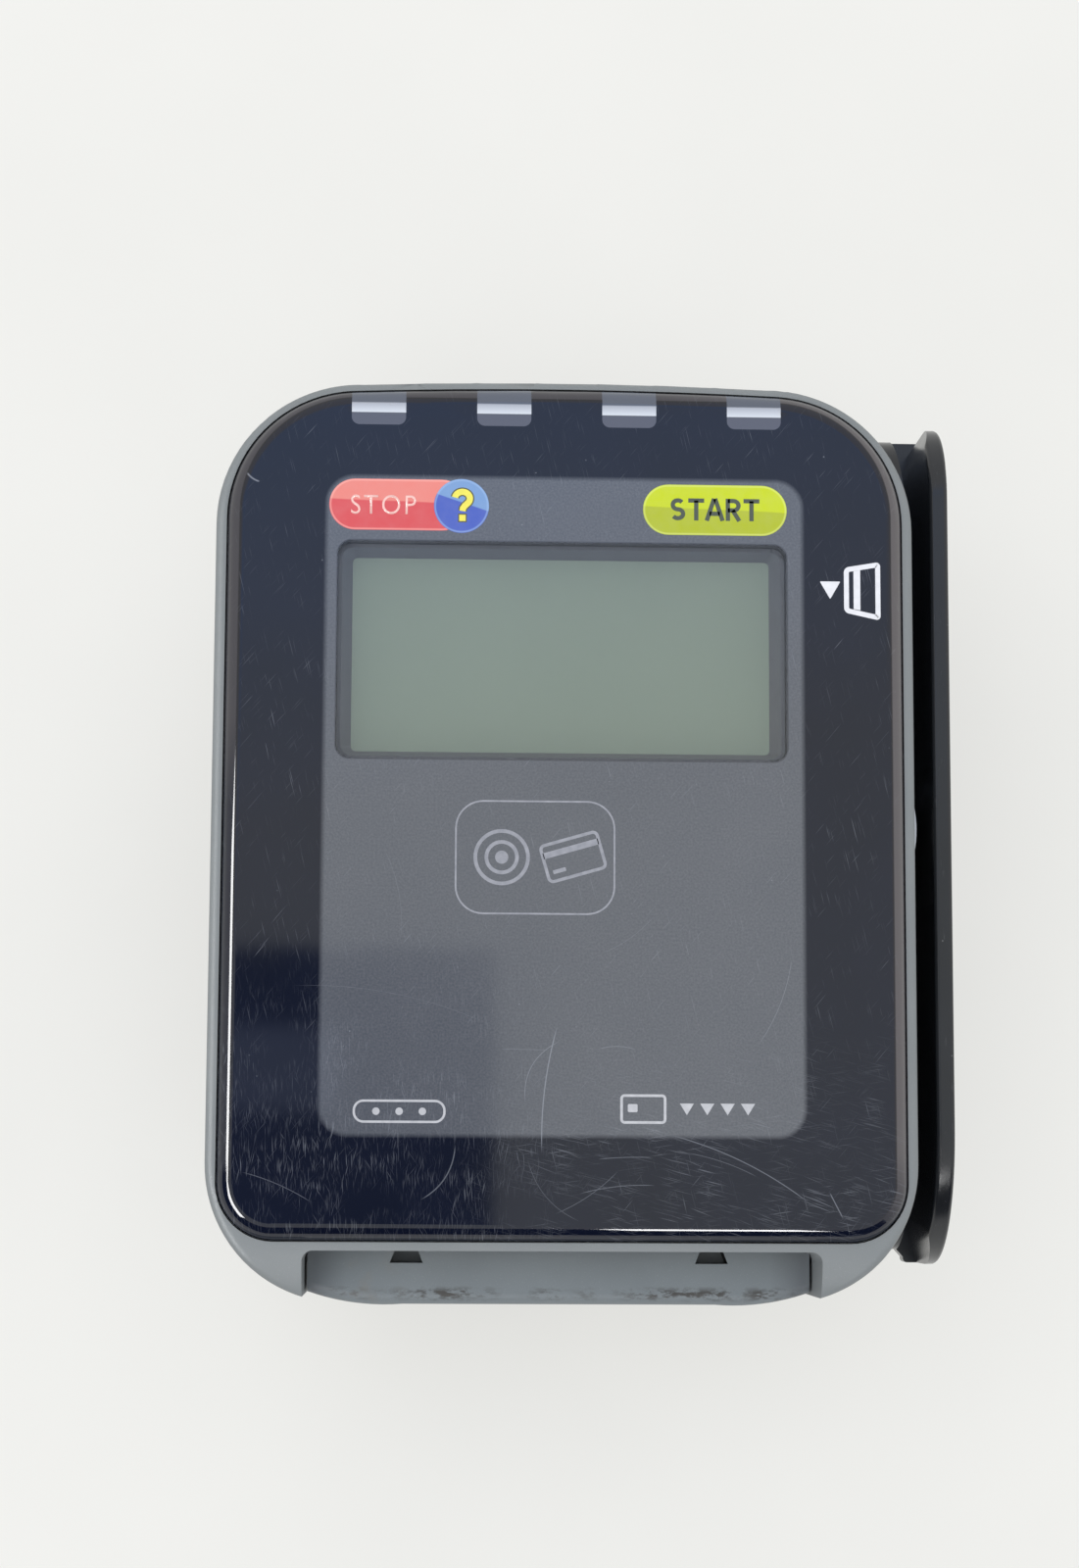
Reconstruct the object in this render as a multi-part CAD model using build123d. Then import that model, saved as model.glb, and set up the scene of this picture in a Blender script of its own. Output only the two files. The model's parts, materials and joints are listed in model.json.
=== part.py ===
"""Panel-mounted card payment terminal: contactless face, chip card slot and swipe rail.

The part lies on its back: +Z points out of the face, +Y towards its top edge.
Everything is drawn about the centre line of the front window. `save` then shifts it,
so that the origin is on the rear face, under the middle of the whole part.
"""

from build123d import *
from math import sqrt
import os

# Whole part, in millimetres.
depth = 58.0                     # rear face to front face
clearance = 0.15                 # between parts that only sit beside each other

# Front window, a moulded plate with a rounded rim.
window_w, window_h, window_t = 77.8, 97.8, 3.0
window_r_top, window_r_bottom = 15.0, 6.5
window_rim_r = 2.1
window_z = depth - window_t      # its underside

# Grey front housing.
shell_w, shell_top, shell_bottom = 80.6, 50.0, -55.9
shell_r_top, shell_r_bottom = 16.6, 15.7
arch_r = 600.0                   # the top edges bow up slightly
shell_wall = 2.2
shell_rim_r = 1.0
lip_z = depth - 1.7              # the lip round the window
seam_z = 38.0                    # joint of housing and chassis
shell_y = (shell_top + shell_bottom) / 2
shell_h = shell_top - shell_bottom
chin_start = -49.8               # the chin curves down from here
chin_r = 9.0
gasket_t = 0.3                   # adhesive under the window
ledge_t = 1.5
ledge_w = 1.6

# Display.
display_x, display_y = -0.4, 18.0
display_w, display_h = 51.6, 25.2
display_r = 1.6
pane_t = 1.8
lcd_view_w, lcd_view_h = 48.3, 22.6
lcd_z = depth - 4.0              # top of the LCD glass
lcd_t = 1.1

# Four light windows at the top edge.
light_pitch, light_w, light_foot = 14.45, 6.25, 44.2
light_xs = [light_pitch * (i - 1.5) for i in range(4)]

# Card slot. The card lies flat and goes in towards +Y.
mouth_w, mouth_back = 58.5, -50.0
card_floor, card_roof = 46.6, 48.2
slot_w = 54.8
tongue_w, tongue_y = 57.9, -56.3
tongue_z = 42.6                  # underside of the tongue
tongue_side_y, tongue_corner_x = -54.9, 18.0
notch_x, notch_w, notch_throat = 17.6, 3.8, 2.2
reader_w, reader_back, reader_front = 60.0, -46.4, 12.0
reader_z = 41.6
chip_x, chip_y = 3.0, -6.0
lever_y, lever_z, lever_pin_r = 2.0, 44.2, 0.6

# Swipe rail.
rail_bottom, rail_top = -51.8, 48.0   # ends of the outer wall
rail_floor_bottom, rail_floor_top = -49.9, 49.6
rail_inner_top = 46.4
rail_floor_z, rail_base_z = 30.0, 27.5
rail_crest_z = depth - 6.0
rail_end_rs = (16.0, 10.0)       # at the bottom and the top
rail_in, rail_face = 37.8, 40.5  # inner wall
rail_wall_top, rail_wall_foot = 43.1, 42.4
rail_out = 45.2
rail_inner_z = 49.0
chassis_rail_face = 34.4         # the rail's screws sit against this wall of the chassis
head_y, head_z = -1.0, rail_floor_z + 11.5
head_w, head_h = 16.0, 12.0
head_reach = 1.3                 # how far its nose stands in the channel

# Chassis and the mounting plane.
chassis_w, chassis_top, chassis_bottom = 79.6, 49.5, -52.6
chassis_r_top, chassis_r_bottom = 16.4, 15.2
chassis_wall = 2.4
panel_z = 26.0
chassis_floor = 2.0
stud_r, stud_len = 2.0, 14.0
stud_xs, stud_ys = (-32.2, 32.2), (-45.2, 40.8)
foam_t = 1.5
plunger_r, plunger_out = 1.5, 1.8
plunger_ys = (-45.0, 43.4)

# Rear case.
case_w, case_bottom, case_top = 60.0, -42.7, 37.3
case_r, case_wall = 4.0, 2.2
case_y = (case_bottom + case_top) / 2
case_h = case_top - case_bottom
boss_xs, boss_ys = (-24.8, 24.8), (case_bottom + 5.4, case_top - 5.4)
io_z, board_t = 5.0, 1.6
door_w, door_z0, door_z1 = 34.0, 6.0, 19.6
door_t, door_pin_r = 1.6, 0.6
door_y = case_top - door_t / 2
door_pivot_z = door_z1 - 1.2
jack_x, jack_w, jack_h, jack_len = -10.5, 16.0, 13.4, 20.0
usb_x, usb_w, usb_h, usb_len = 4.7, 8.4, 4.2, 9.0
power_x, power_w, power_h, power_len = 15.8, 10.0, 8.6, 10.0
button_x, button_z, button_r = 4.7, 17.0, 2.0

# Fasteners.
screw_r = 1.25

# Boards in the front half.
main_z = 38.6
main_w, main_bottom, main_top = 66.0, -46.8, 46.0
main_r = 10.0
antenna_z, antenna_t = 51.9, 1.0

# The whole part's middle, which becomes the origin.
middle_x = (-shell_w / 2 + rail_out) / 2
middle_y = (tongue_y + shell_top) / 2

out_folder = "parts"


def save(name, shape):
    """Write one node as STEP, in the row's own frame."""
    export_step(Pos(-middle_x, -middle_y, 0) * shape, f"{out_folder}/{name}.step")


def block(x0, x1, y0, y1, z0, z1):
    """A box given by its limits."""
    size = (x1 - x0, y1 - y0, z1 - z0)
    return Pos(x0, y0, z0) * Box(*size, align=(Align.MIN, Align.MIN, Align.MIN))


def slab(x, y, w, h, z0, z1, r=0.0):
    """A plate centred on x, y with rounded corners."""
    outline = RectangleRounded(w, h, r) if r else Rectangle(w, h)
    return Pos(x, y, z0) * extrude(outline, z1 - z0)


def disc(x, y, r, z0, z1):
    """An upright cylinder."""
    return Pos(x, y, z0) * extrude(Circle(r), z1 - z0)


def along_x(y, z, r, x0, x1):
    """A cylinder along X."""
    return Pos(x0, y, z) * Rot(0, 90, 0) * extrude(Circle(r), x1 - x0)


def along_y(x, z, r, y0, y1):
    """A cylinder along Y."""
    return Pos(x, y0, z) * Rot(-90, 0, 0) * extrude(Circle(r), y1 - y0)


def prism_x(profile, x0, x1):
    """A profile drawn in Y and Z, carried through X."""
    return Pos((x0 + x1) / 2, 0, 0) * extrude(Plane.YZ * profile, (x1 - x0) / 2, both=True)


def prism_y(profile, y0, y1):
    """A profile drawn in X and Z, carried through Y."""
    return Pos(0, (y0 + y1) / 2, 0) * extrude(Plane.XZ * profile, (y1 - y0) / 2, both=True)


def prism_z(profile, z0, z1):
    """A profile drawn in X and Y, carried through Z."""
    return Pos(0, 0, (z0 + z1) / 2) * extrude(profile, (z1 - z0) / 2, both=True)


def tablet(w, h, r_top, r_bottom):
    """An upright outline with an arched top and its own radius at the top and bottom corners."""
    half, shoulder = w / 2, h / 2 - arch_r + sqrt(arch_r ** 2 - w ** 2 / 4)
    outline = make_face(
        Line((-half, -h / 2), (half, -h / 2)) + Line((half, -h / 2), (half, shoulder))
        + ThreePointArc((half, shoulder), (0, h / 2), (-half, shoulder))
        + Line((-half, shoulder), (-half, -h / 2)))
    outline = fillet(outline.vertices().group_by(Axis.Y)[-1], r_top)
    return fillet(outline.vertices().group_by(Axis.Y)[0], r_bottom)


def frame_ring(outer, inner, z0, z1):
    """The ring between two outlines."""
    return Pos(0, 0, z0) * extrude(outer - inner, z1 - z0)


def joined(shapes):
    """Separate solids kept together in one node."""
    return Compound(children=[s for shape in shapes for s in shape.solids()])


# ---------------------------------------------------------------- front window

def light_slots(grow=0.0):
    """The four openings at the window's top edge."""
    height = window_h / 2 + 2 - light_foot
    cut = [slab(x, light_foot + height / 2, light_w + grow, height + grow, window_z - 1,
                depth + 1, 0.9) for x in light_xs]
    return cut[0] + cut[1:]


def window_blank():
    plate = Pos(0, 0, window_z) * extrude(
        tablet(window_w, window_h, window_r_top, window_r_bottom), window_t)
    return fillet(plate.faces().sort_by(Axis.Z)[-1].edges(), window_rim_r)


def front_window(blank):
    opening = slab(display_x, display_y, display_w, display_h, window_z - 1, depth + 1, display_r)
    return blank - opening - light_slots()


def light_pipes(blank):
    """Clear heads flush with the window, each with a stem down to its LED."""
    heads = blank & light_slots()
    stems = [slab(x, light_foot + 1.4, 4.6, 2.0, window_z - 0.2, window_z, 0.3) for x in light_xs]
    return joined([head + stem for head, stem in zip(heads.solids().sort_by(Axis.X), stems)])


def display_window():
    """The clear pane over the display, flush with the face."""
    return slab(display_x, display_y, display_w, display_h, depth - pane_t, depth, display_r)


def display_bezel():
    """The sloping frame between the pane and the LCD glass, with a flange under the window."""
    top_z = depth - pane_t
    rim = slab(display_x, display_y, display_w - 0.2, display_h - 0.2, lcd_z, top_z, 1.5)
    flange = slab(display_x, display_y, display_w + 2.2, display_h + 2.2, lcd_z, window_z, 1.5)
    foot = Pos(display_x, display_y, lcd_z) * RectangleRounded(lcd_view_w, lcd_view_h, 0.6)
    mouth = Pos(display_x, display_y, top_z) * RectangleRounded(display_w - 1.0, display_h - 1.0, 1.3)
    return rim + flange - loft([foot, mouth])


def lcd_glass():
    return slab(display_x, display_y, 53.0, 27.0, lcd_z - lcd_t, lcd_z, 0.3)


def lcd_backlight():
    top = lcd_z - lcd_t
    return slab(display_x, display_y, 52.0, 27.2, top - 2.5, top, 0.4)


def lcd_frame():
    """Sheet steel cradle round the backlight."""
    foot, top = lcd_z - lcd_t - 3.0, lcd_z - lcd_t - 0.2
    tray = slab(display_x, display_y, 53.4, 28.4, foot, top, 0.8)
    return tray - slab(display_x, display_y, 52.3, 27.5, foot + 0.5, top + 1, 0.5)


def lcd_flex():
    """Ribbon from the LCD's top edge down to the main board."""
    y0 = display_y + 27.0 / 2
    z_top, z_low = lcd_z - lcd_t / 2, main_z + board_t
    run = FilletPolyline((y0, z_top), (y0 + 1.6, z_top), (y0 + 1.6, z_low + 0.35), (y0 + 7.0, z_low + 0.35),
                         radius=0.6)
    return prism_x(trace(run, 0.2), display_x - 7.0, display_x + 7.0)


def window_gasket():
    """Adhesive foam frame that the window is bonded with."""
    outer = tablet(window_w - 0.6, window_h - 0.6, window_r_top - 0.3, window_r_bottom - 0.3)
    inner = tablet(window_w - 2 * ledge_w, window_h - 2 * ledge_w,
                   window_r_top - ledge_w, window_r_bottom - ledge_w)
    return frame_ring(outer, inner, window_z - gasket_t, window_z)


# --------------------------------------------------------------- front housing

def shell_outline(inset=0.0):
    return Pos(0, shell_y) * tablet(shell_w - 2 * inset, shell_h - 2 * inset,
                                    shell_r_top - inset, shell_r_bottom - inset)


def chassis_outline(inset=0.0):
    y = (chassis_top + chassis_bottom) / 2
    h = chassis_top - chassis_bottom
    return Pos(0, y) * tablet(chassis_w - 2 * inset, h - 2 * inset,
                              chassis_r_top - inset, chassis_r_bottom - inset)


def rail_bay(z0, z1):
    """The space that the swipe rail takes from the right side."""
    return block(rail_in, shell_w, rail_bottom - 1, rail_floor_top + 1, z0, z1)


def front_housing():
    body = Pos(0, 0, seam_z) * extrude(shell_outline(), lip_z - seam_z)

    # The chin rolls down in front of the window's lower edge.
    drop_y = chin_start - shell_bottom + 2
    drop = chin_r - sqrt(chin_r ** 2 - drop_y ** 2)
    roll = make_face(
        Line((chin_start, lip_z), (chin_start, lip_z + 2))
        + Line((chin_start, lip_z + 2), (chin_start - drop_y, lip_z + 2))
        + Line((chin_start - drop_y, lip_z + 2), (chin_start - drop_y, lip_z - drop))
        + RadiusArc((chin_start - drop_y, lip_z - drop), (chin_start, lip_z), chin_r))
    body -= prism_x(roll, -shell_w, shell_w)
    rim = [e for e in body.edges() if e.center().Z > seam_z + 12
           and abs(e.center().Y - chin_start) > 0.4]
    body = fillet(rim, shell_rim_r)

    # Seat for the window, the ledge under it and the hollow behind.
    seat = tablet(window_w + 2 * clearance, window_h + 2 * clearance,
                  window_r_top + clearance, window_r_bottom + clearance)
    seat_z = window_z - gasket_t
    body -= Pos(0, 0, seat_z) * extrude(seat, 10)
    ledge = tablet(window_w - 2 * ledge_w, window_h - 2 * ledge_w,
                   window_r_top - ledge_w, window_r_bottom - ledge_w)
    body -= Pos(0, 0, seat_z - ledge_t - 1) * extrude(ledge, 10)
    inner_bottom = -window_h / 2 + ledge_w
    inner_top = shell_top - shell_wall
    hollow = slab(0, (inner_top + inner_bottom) / 2, shell_w - 2 * shell_wall,
                  inner_top - inner_bottom, seam_z - 1, seat_z - ledge_t)
    hollow &= Pos(0, 0, seam_z - 1) * extrude(shell_outline(shell_wall), 40)
    body -= hollow

    # The finger recess in the chin, the slot behind it and the trim below the tongue.
    body -= slab(0, mouth_back - 10, mouth_w, 20, tongue_z, depth + 1, 1.2)
    below = block(-mouth_w / 2, mouth_w / 2, shell_bottom - 1, mouth_back - 1.5, seam_z - 1, tongue_z)
    body -= below - prism_z(tongue_outline(), seam_z - 1, tongue_z)
    body -= block(-slot_w / 2, slot_w / 2, mouth_back - 1, inner_bottom + 1, card_floor - 0.1,
                  card_roof + 0.3)
    body -= block(-tongue_w / 2, tongue_w / 2, mouth_back - 1, inner_bottom + 1, tongue_z, card_floor)
    body -= rail_bay(seam_z - 1, rail_inner_z)

    # Bosses for the screws that come up from the chassis.
    for x, y in housing_screw_places():
        boss = disc(x, y, 2.6, seam_z, seam_z + 11) & (Pos(0, 0, seam_z) * extrude(
            shell_outline(shell_wall / 2), 40))
        body += boss
        body -= disc(x, y, screw_r, seam_z - 1, seam_z + 9)
    return body


def tongue_outline():
    half = tongue_w / 2
    return make_face(
        Line((-half, reader_back), (half, reader_back)) + Line((half, reader_back), (half, tongue_side_y))
        + ThreePointArc((half, tongue_side_y), (half - 3.0, -55.75), (tongue_corner_x, tongue_y))
        + Line((tongue_corner_x, tongue_y), (-tongue_corner_x, tongue_y))
        + ThreePointArc((-tongue_corner_x, tongue_y), (3.0 - half, -55.75), (-half, tongue_side_y))
        + Line((-half, tongue_side_y), (-half, reader_back)))


def card_guide():
    """The tongue that the card rests on, with two drain notches at the slot."""
    body = prism_z(tongue_outline(), tongue_z, card_floor)
    front = [e for e in body.edges() if e.center().Z > card_floor - 0.1 and e.center().Y < tongue_side_y]
    body = fillet(front, 1.3)
    for x in (-notch_x, notch_x):
        notch = make_face(Polyline(
            (x - notch_w / 2, mouth_back - 1.6), (x + notch_w / 2, mouth_back - 1.6),
            (x + notch_throat / 2, mouth_back + 0.4), (x - notch_throat / 2, mouth_back + 0.4),
            close=True))
        body -= prism_z(notch, tongue_z - 1, depth)
    return body


# ----------------------------------------------------------------- chip reader

def lever_slot():
    return block(-23.4, -20.6, -1.0, 9.4, reader_z - 1, card_floor + 1)


def contact_pocket():
    return slab(chip_x, chip_y, 14.6, 13.6, reader_z - 1, card_floor + 1)


def reader_base():
    """Tray with side rails and an end stop. The card runs between it and the cover."""
    half = reader_w / 2
    body = block(-half, half, reader_back, reader_front, reader_z, card_roof)
    body -= block(-slot_w / 2, slot_w / 2, reader_back - 1, reader_front - 2.4, card_floor, card_roof + 1)
    body -= lever_slot() + contact_pocket()
    for x in (-14.0, 14.0):
        body -= block(x - 6, x + 6, reader_back + 4, chip_y - 14, reader_z - 1, card_floor - 1.4)
    for x in (3.0 - half, half - 3.0):
        for y in (reader_back + 3.0, reader_front - 3.0):
            body += disc(x, y, 2.2, main_z + board_t, reader_z)
    return body - along_x(lever_y, lever_z, lever_pin_r + 0.05, -25.0, -19.0)


def reader_cover():
    half = reader_w / 2
    body = block(-half, half, reader_back, reader_front, card_roof, card_roof + 1.4)
    for i in range(4):
        body -= slab(-18.0 + 12 * i, -28.0, 6.0, 18.0, card_roof - 1, card_roof + 3, 1.5)
    for x in (3.0 - half, half - 3.0):
        for y in (reader_back + 6.0, -1.0):
            body += disc(x, y, 2.0, card_roof + 1.4, antenna_z)
    return body


def contact_carrier():
    body = slab(chip_x, chip_y, 14.0, 13.0, reader_z + 0.8, card_floor - 0.2, 0.5)
    for spring in contact_places():
        body -= slab(*spring, 1.1, 3.8, card_floor - 1.8, card_floor + 1)
    return body


def contact_places():
    """Two rows of four chip contacts."""
    return [(chip_x + 2.54 * (i - 1.5), chip_y + row) for row in (-3.81, 3.81) for i in range(4)]


def contact_springs():
    """Eight gold springs, each a bowed strip that stands just above the card floor."""
    parts = []
    for x, y in contact_places():
        foot = card_floor - 1.2
        bow = make_face(Line((y - 1.6, foot), (y + 1.6, foot))
                        + ThreePointArc((y + 1.6, foot), (y, card_floor + 0.5), (y - 1.6, foot)))
        parts.append(prism_x(bow, x - 0.5, x + 0.5))
    return joined(parts)


def card_switch_lever():
    """Rocks down when the card's edge reaches it."""
    arm = make_face(Polyline((1.0, 43.4), (3.2, 43.2), (8.2, 46.6), (7.0, 47.9), (6.2, 47.7), (1.4, 45.2),
                             close=True))
    body = prism_x(arm, -23.1, -20.9)
    body += along_x(lever_y, lever_z, 1.1, -23.1, -20.9)
    return body + along_x(lever_y, lever_z, lever_pin_r, -24.8, -19.2)


# ------------------------------------------------------------------ swipe rail

def swipe_rail():
    """U-shaped channel: inner wall, floor and a tall outer wall with rounded ends."""
    wall = make_face(Polyline(
        (rail_wall_foot, rail_base_z), (rail_out, rail_base_z), (rail_out, rail_crest_z),
        (rail_wall_top, rail_crest_z), (rail_wall_foot, rail_floor_z), close=True))
    wall = prism_y(wall, rail_bottom, rail_top)
    side = block(rail_in, rail_out + 1, rail_bottom, rail_top, rail_base_z, rail_crest_z)
    for end, r in zip((0, -1), rail_end_rs):
        side = fillet(side.edges().filter_by(Axis.X).group_by(Axis.Z)[-1].sort_by(Axis.Y)[end], r)
    wall &= side
    crest = [e for e in wall.edges() if e.center().Z > rail_crest_z - max(rail_end_rs)
             and abs(e.center().X - (rail_wall_top + rail_out) / 2) > 0.5]
    wall = fillet(crest, 0.5)

    plan = make_face(Polyline(
        (rail_in, rail_floor_bottom), (rail_face + 0.8, rail_floor_bottom), (rail_wall_foot + 0.6, rail_bottom),
        (rail_out, rail_bottom), (rail_out, rail_floor_top), (rail_in, rail_floor_top), close=True))
    channel = prism_z(plan, rail_base_z, rail_floor_z)
    inner = block(rail_in, rail_face, rail_floor_bottom, rail_inner_top, rail_floor_z, rail_inner_z)
    inner = fillet(inner.edges().filter_by(Axis.X).group_by(Axis.Z)[-1], 6.0)
    body = wall + channel + inner

    # The mouth widens at both ends so that the card finds the channel.
    ends = ((rail_bottom, rail_floor_bottom, 1), (rail_top, rail_inner_top, -1))
    for end, inner_end, inward in ends:
        lead = make_face(Polyline((rail_wall_foot - 1, end), (rail_wall_top + 0.9, end),
                                  (rail_wall_foot - 1, end + inward * 9.0), close=True))
        body -= prism_z(lead, rail_floor_z, depth)
        lead = make_face(Polyline((rail_face + 1, inner_end), (rail_face - 1.0, inner_end),
                                  (rail_face, inner_end + inward * 7.0), (rail_face + 1, inner_end + inward * 7.0),
                                  close=True))
        body -= prism_z(lead, rail_floor_z, depth)
    window = block(rail_in - 1, rail_face + 0.5, head_y - head_w / 2 - 0.3, head_y + head_w / 2 + 0.3,
                   head_z - head_h / 2 - 0.3, head_z + head_h / 2 + 0.3)
    body -= window
    for y, z in rail_screw_places():
        body -= along_x(y, z, screw_r, rail_in - 1, rail_face - 0.6)
    return body


def rail_screw_places():
    return [(rail_bottom + 14, 34.0), (rail_top - 14, 34.0)]


def screw(length, head_r=2.4, head_h=1.8, drive_r=1.0):
    """A pan-head screw standing on its head's underside, pointing along +Z."""
    body = extrude(Circle(screw_r), length)
    head = Pos(0, 0, -head_h) * extrude(Circle(head_r), head_h)
    head = fillet(head.faces().sort_by(Axis.Z)[0].edges(), 0.6)
    socket = Pos(0, 0, -head_h) * extrude(RegularPolygon(drive_r, 6), 1.0)
    return body + head - socket


def rail_screws():
    return joined([Pos(chassis_rail_face, y, z) * Rot(0, 90, 0) * screw(rail_face - 0.8 - chassis_rail_face)
                   for y, z in rail_screw_places()])


def mag_head():
    """Read head with a cylindrical nose that stands in the channel."""
    tip = rail_face + head_reach
    y0, y1 = head_y - head_w / 2, head_y + head_w / 2
    profile = make_face(
        Line((tip - 6.6, y0), (tip - 2.6, y0))
        + ThreePointArc((tip - 2.6, y0), (tip, head_y), (tip - 2.6, y1))
        + Line((tip - 2.6, y1), (tip - 6.6, y1)) + Line((tip - 6.6, y1), (tip - 6.6, y0)))
    return prism_z(profile, head_z - head_h / 2, head_z + head_h / 2)


def head_spring():
    """Leaf spring behind the head, held by the rail at both ends."""
    x = rail_face + head_reach - 6.6
    strip = block(x - 0.3, x, head_y - 15, head_y + 15, head_z - 4, head_z + 4)
    for y in (head_y - 12.5, head_y + 12.5):
        strip += block(x, rail_in, y - 2.0, y + 2.0, head_z - 4, head_z + 4)
    return strip


def head_flex():
    """Short ribbon from the head down to the main board."""
    x = rail_face + head_reach - 7.2
    run = FilletPolyline((x, head_z + 3), (x - 1.5, head_z + 3), (x - 1.5, main_z + board_t + 0.35),
                         (x - 10.0, main_z + board_t + 0.35), radius=0.5)
    return prism_y(trace(run, 0.2), head_y - 5.0, head_y + 5.0)


# ---------------------------------------------------------------------- boards

def board_mounts():
    """Corners where the main board is screwed to the chassis."""
    return [(-30.0, -35.5), (26.0, -35.5), (-30.0, 34.0), (26.0, 34.0)]


def main_board():
    body = slab(0, (main_bottom + main_top) / 2, main_w, main_top - main_bottom, main_z,
                main_z + board_t, main_r)
    body -= block(26.5, 40.0, head_y - 17, head_y + 17, main_z - 1, main_z + 3)
    for x, y in board_mounts():
        body -= disc(x, y, 1.5, main_z - 1, main_z + 3)
    for x, y in housing_screw_places():
        body -= disc(x, y, 3.1, main_z - 1, main_z + 3)
    return body


def security_shield():
    """Sheet steel can over the processor."""
    z0 = main_z + board_t
    return slab(-8.0, 22.0, 28.0, 18.0, z0, z0 + 1.2, 1.0)


def board_screws():
    z = main_z + board_t
    return joined([Pos(x, y, z) * Rot(180, 0, 0) * screw(5.0, head_r=2.2, head_h=1.0)
                   for x, y in board_mounts()])


def backup_cell():
    return disc(-14.0, -20.0, 10.0, main_z - 3.9, main_z - 0.7)


def cell_holder():
    cup = disc(-14.0, -20.0, 11.4, main_z - 3.0, main_z)
    return cup - disc(-14.0, -20.0, 10.05, main_z - 4.0, main_z - 0.7)


def buzzer():
    body = disc(12.0, -22.0, 6.0, main_z - 4.5, main_z)
    return body - disc(12.0, -22.0, 1.0, main_z - 5, main_z - 3.5)


def antenna_board():
    body = slab(0, 0.3, 68.0, 88.0, antenna_z, antenna_z + antenna_t, 6.0)
    body -= slab(display_x, display_y, 54.6, 29.4, antenna_z - 1, antenna_z + 3, 1.0)
    return body - slab(display_x, display_y + 15.5, 16.0, 5.0, antenna_z - 1, antenna_z + 3, 0.5)


def display_carrier():
    """Plate on four legs that holds the display and the upper half of the antenna board."""
    foot, top = main_z + board_t, lcd_z - lcd_t - 3.0
    y0, y1 = reader_front + 0.6, 43.0
    body = block(-33.0, 33.0, y0, y1, top - 1.6, top)
    body -= slab(display_x - 16.0, 24.0, 14.0, 12.0, foot, top + 1, 2.0)
    body -= slab(display_x + 16.0, 24.0, 14.0, 12.0, foot, top + 1, 2.0)
    body -= slab(display_x, display_y + 18.0, 16.0, 8.0, foot, top + 1, 0.5)
    for x in (-30.6, 30.6):
        for y in (y0 + 2.4, y1 - 2.4):
            body += disc(x, y, 2.4, foot, antenna_z)
    return body


def antenna_coil():
    """Three copper turns round the reading area."""
    z0 = antenna_z + antenna_t
    turns = []
    for i in range(3):
        w, h = 63.0 - 2.4 * i, 47.0 - 2.4 * i
        ring = RectangleRounded(w, h, 4.0) - RectangleRounded(w - 1.2, h - 1.2, 3.4)
        turns.append(Pos(0, -19.0, z0) * extrude(ring, 0.1))
    return joined(turns)


def status_leds():
    z0 = antenna_z + antenna_t
    return joined([slab(x, light_foot - 1.6, 3.5, 2.8, z0, z0 + 1.7, 0.2) for x in light_xs])


# --------------------------------------------------------- chassis and fixings

def housing_screw_places():
    return [(-36.2, -30.0), (-36.2, 26.0), (-16.0, 45.6), (16.0, 45.6)]


def chassis():
    """Black mid frame: walls below the grey housing and the plate that meets the panel."""
    outline = Pos(0, 0, panel_z) * extrude(chassis_outline(), seam_z - panel_z)
    inner = Pos(0, 0, panel_z + chassis_floor) * extrude(chassis_outline(chassis_wall), 20)
    inner &= block(-shell_w, chassis_rail_face, -70, 70, 0, 60)
    body = outline - inner - rail_bay(rail_base_z, seam_z + 1)
    body -= slab(0, case_y, case_w - 14, case_h - 18, panel_z - 1, panel_z + 5, 3.0)
    # Room for the head and its spring behind the rail.
    body -= block(30.0, rail_in + 1, head_y - 16, head_y + 16, head_z - 7, seam_z + 1)
    for x, y in board_mounts():
        body += disc(x, y, 2.6, panel_z + chassis_floor, main_z)
        body -= disc(x, y, screw_r, main_z - 4.5, main_z + 1)
    for x, y in housing_screw_places():
        body += disc(x, y, 3.0, panel_z + chassis_floor, seam_z)
        body -= disc(x, y, 1.35, panel_z - 1, seam_z + 1)
        body -= disc(x, y, 2.6, panel_z - 1, panel_z + 2.2)
    for x in boss_xs:
        for y in boss_ys:
            body += disc(x, y, 3.2, panel_z + chassis_floor, panel_z + 8)
            body -= disc(x, y, screw_r, panel_z - 1, panel_z + 6.5)
    for x in stud_xs:
        for y in stud_ys:
            body += disc(x, y, 4.0, panel_z + chassis_floor, panel_z + 5)
            body -= disc(x, y, stud_r + 0.6, panel_z - 1, panel_z + 4)
    for y in plunger_ys:
        body += disc(0, y, 3.4, panel_z + chassis_floor, panel_z + 3.2)
        body -= disc(0, y, plunger_r + 0.06, panel_z - 1, panel_z + 5)
    for y, z in rail_screw_places():
        body -= along_x(y, z, 1.35, chassis_rail_face - 1, rail_in + 1)
    return body


def panel_gasket():
    """Foam ring that seals the terminal to the panel it is mounted in."""
    hole = Pos(0, case_y) * RectangleRounded(case_w + 3, case_h + 3, case_r + 1.5)
    ring = frame_ring(chassis_outline(1.4), hole, panel_z - foam_t, panel_z)
    for x in stud_xs:
        for y in stud_ys:
            ring -= disc(x, y, stud_r + 1.4, 0, 40)
    for x, y in housing_screw_places():
        ring -= disc(x, y, 3.0, 0, 40)
    for y in plunger_ys:
        ring -= disc(0, y, plunger_r + 0.8, 0, 40)
    return ring


def panel_studs():
    """Four pressed-in studs with a knurled root."""
    tip_z = panel_z - stud_len
    stud = disc(0, 0, stud_r, tip_z, panel_z)
    stud = chamfer(stud.faces().sort_by(Axis.Z)[0].edges(), 0.5)
    stud += disc(0, 0, stud_r + 0.6, panel_z, panel_z + 4)
    return joined([Pos(x, y, 0) * stud for x in stud_xs for y in stud_ys])


def housing_screws():
    """Long screws that pull the front housing onto the chassis."""
    z = panel_z + 2.2
    return joined([Pos(x, y, z) * screw(18.0) for x, y in housing_screw_places()])


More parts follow.
